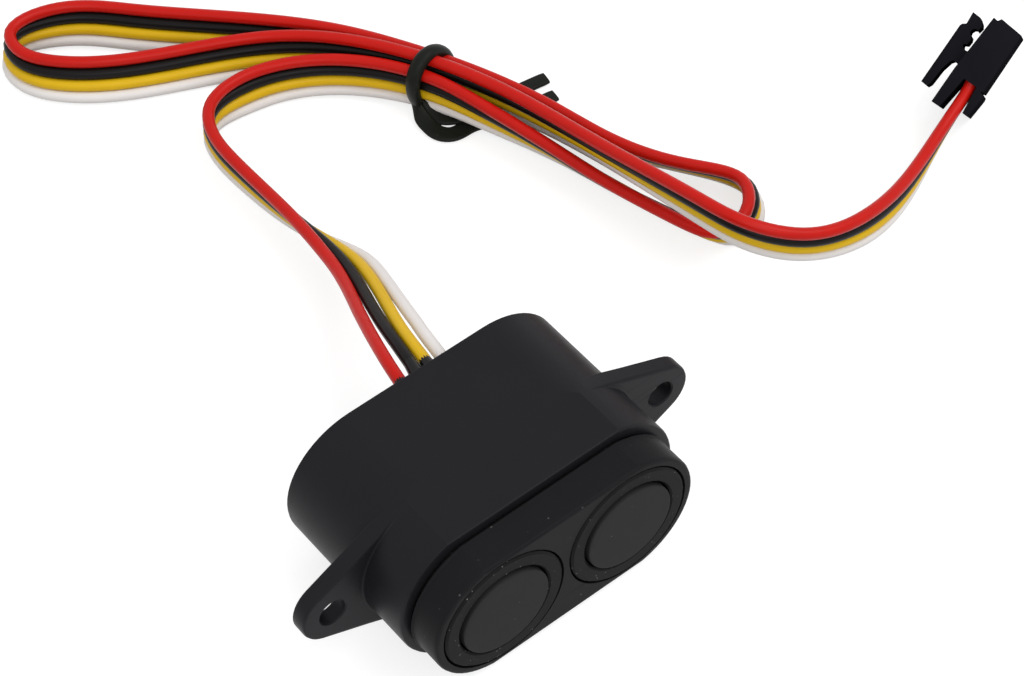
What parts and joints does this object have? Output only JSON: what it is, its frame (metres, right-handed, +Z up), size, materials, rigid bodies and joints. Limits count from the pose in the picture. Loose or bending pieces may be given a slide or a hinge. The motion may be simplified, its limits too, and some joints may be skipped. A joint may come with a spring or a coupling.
{
  "type": "ultrasonic distance sensor",
  "caption": "Ultrasonic distance sensor: paired round transducers in an oval housing with screw ears, and a tied ribbon lead with a latching plug.",
  "frame": {"origin": "middle of the sensor's footprint, seen from above, on the surface that it stands on", "axes": "+X to the sensor's own left when it is seen from the front, along the line through both ears; +Y backwards, from the transducers' faces to the wires; +Z up"},
  "size_m": [0.1468, 0.1403, 0.0232],
  "materials": {
    "housing": "satin",
    "cap": "satin",
    "seal": "matt",
    "can": "matt, dark",
    "isolator": "matt",
    "piezo": "fired ceramic",
    "pad": "soft",
    "lead": "tinned",
    "laminate": "solder mask",
    "ferrite": "matt",
    "coil": "enamelled",
    "capacitor": "satin",
    "chip": "moulded",
    "resin": "poured",
    "wire_white": "satin",
    "wire_yellow": "satin",
    "wire_black": "satin",
    "wire_red": "satin",
    "plug": "satin",
    "terminal": "tinned",
    "tie": "soft sheen"
  },
  "bodies": {
    "root": {"housing": "housing", "front_cap": "cap", "seal": "seal", "left_transducer_can": "can", "right_transducer_can": "can", "left_isolator": "isolator", "right_isolator": "isolator", "left_piezo_disc": "piezo", "right_piezo_disc": "piezo", "left_damping_pad": "pad", "right_damping_pad": "pad", "left_inner_lead": "lead", "left_outer_lead": "lead", "right_inner_lead": "lead", "right_outer_lead": "lead", "circuit_board": "laminate", "transformer_core": "ferrite", "transformer_coil": "coil", "supply_capacitor": "capacitor", "controller_chip": "chip", "receiver_chip": "chip", "resin_block": "resin", "white_wire": "wire_white", "yellow_wire": "wire_yellow", "black_wire": "wire_black", "red_wire": "wire_red", "plug_housing": "plug", "terminal_1": "terminal", "terminal_2": "terminal", "terminal_3": "terminal", "terminal_4": "terminal", "twist_tie": "tie"}
  },
  "joints": []
}
